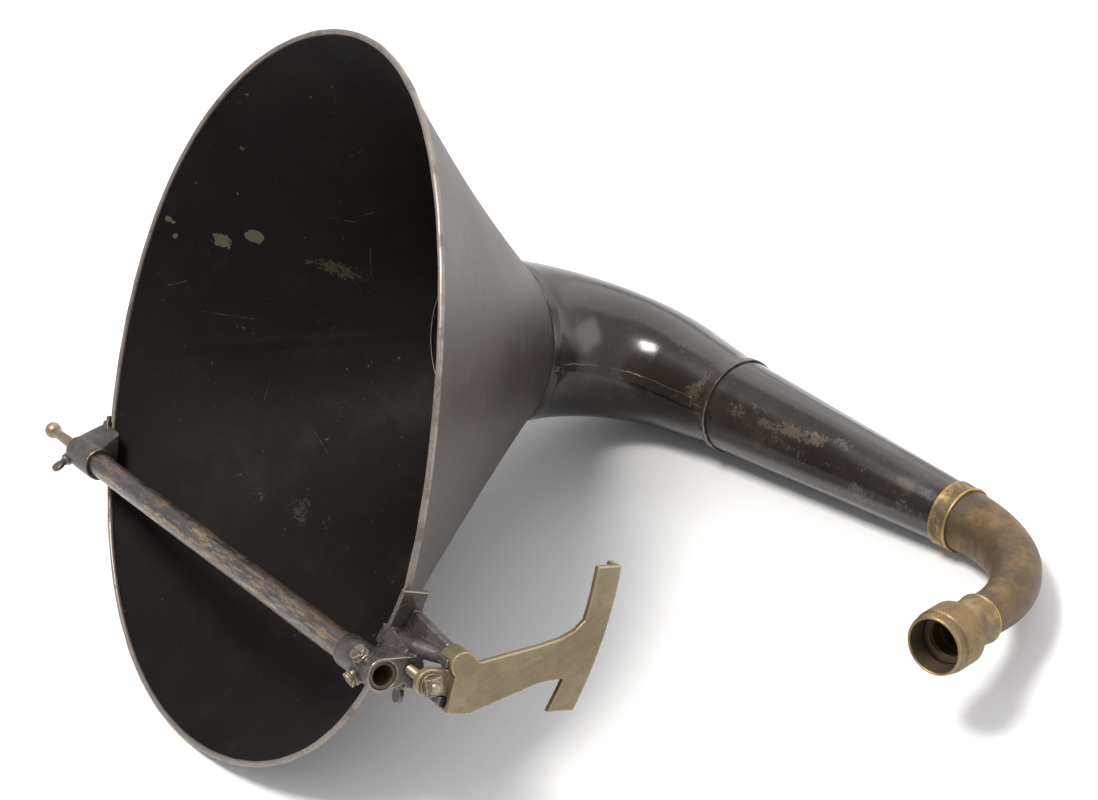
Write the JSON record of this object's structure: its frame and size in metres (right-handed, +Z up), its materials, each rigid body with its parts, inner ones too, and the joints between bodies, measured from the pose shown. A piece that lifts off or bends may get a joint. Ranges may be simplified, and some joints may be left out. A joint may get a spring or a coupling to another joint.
{
  "type": "horn loudspeaker",
  "caption": "Vintage gramophone-style horn loudspeaker: wide sheet-metal bell, bent tapered throat, brass elbow with union nut, and a cross-tube yoke with a side bracket.",
  "frame": {"origin": "centre of the union nut's open face, where the sound unit screws on", "axes": "+X along the horn's length, from the bell to the union; +Z up as the horn lies on its side; the mouth faces -Y and up"},
  "size_m": [0.5129, 0.3759, 0.2703],
  "materials": {
    "bell_lacquer": "satin",
    "rim_metal": "satin",
    "neck_lacquer": "gloss",
    "neck_worn": "satin",
    "aged_brass": "satin",
    "union_brass": "satin",
    "gasket_leather": "matte",
    "tube_worn_black": "satin",
    "cast_grey": "satin",
    "bracket_brass": "satin",
    "screw_metal": "satin"
  },
  "bodies": {
    "horn": {"bell": "bell_lacquer", "rim_bead": "rim_metal", "throat_band": "neck_worn", "gooseneck_upper_shell": "neck_lacquer", "gooseneck_lower_shell": "neck_lacquer", "gooseneck_seam_strips": "neck_lacquer", "joint_ring": "neck_worn", "taper_tube": "neck_lacquer", "elbow_ferrule": "union_brass", "brass_elbow": "aged_brass", "union_ferrule": "aged_brass", "union_tailpiece": "aged_brass", "union_gasket": "gasket_leather", "cross_tube": "tube_worn_black", "left_casting": "cast_grey", "right_casting": "cast_grey", "tube_clamp_screws": "screw_metal", "bracket_stud": "screw_metal"},
    "nut": {"union_nut": "union_brass"},
    "pin": {"ball_pin": "screw_metal"},
    "left_thumb": {"left_thumbscrew": "cast_grey"},
    "right_thumb": {"right_thumbscrew": "cast_grey"},
    "bracket": {"mount_bracket": "bracket_brass", "bracket_washer": "bracket_brass"},
    "bracket_nut": {"bracket_nut": "screw_metal"}
  },
  "joints": [
    {"name": "union_nut_spin", "type": "hinge", "parent": "horn", "child": "nut", "pos_m": [-0.00332, 0.0076, -0.00349], "axis": [0.3693, -0.8447, 0.3874], "continuous": true},
    {"name": "ball_pin_slide", "type": "slide", "parent": "horn", "child": "pin", "axis": [0.9812, 0.1243, 0.1474], "range_m": [0, 0.016]},
    {"name": "left_thumbscrew_spin", "type": "hinge", "parent": "horn", "child": "left_thumb", "pos_m": [-0.45437, -0.25648, 0.00787], "axis": [0.1364, -0.9878, -0.0746], "continuous": true},
    {"name": "right_thumbscrew_spin", "type": "hinge", "parent": "horn", "child": "right_thumb", "pos_m": [-0.09946, -0.19745, 0.05141], "axis": [0.1929, -0.6326, -0.7501], "continuous": true},
    {"name": "bracket_slide", "type": "slide", "parent": "horn", "child": "bracket", "axis": [0.9812, 0.1243, 0.1474], "range_m": [-0.0015, 0.0015]},
    {"name": "bracket_nut_spin", "type": "hinge", "parent": "bracket", "child": "bracket_nut", "pos_m": [-0.0753, -0.18979, 0.0605], "axis": [0.9812, 0.1243, 0.1474], "continuous": true}
  ]
}
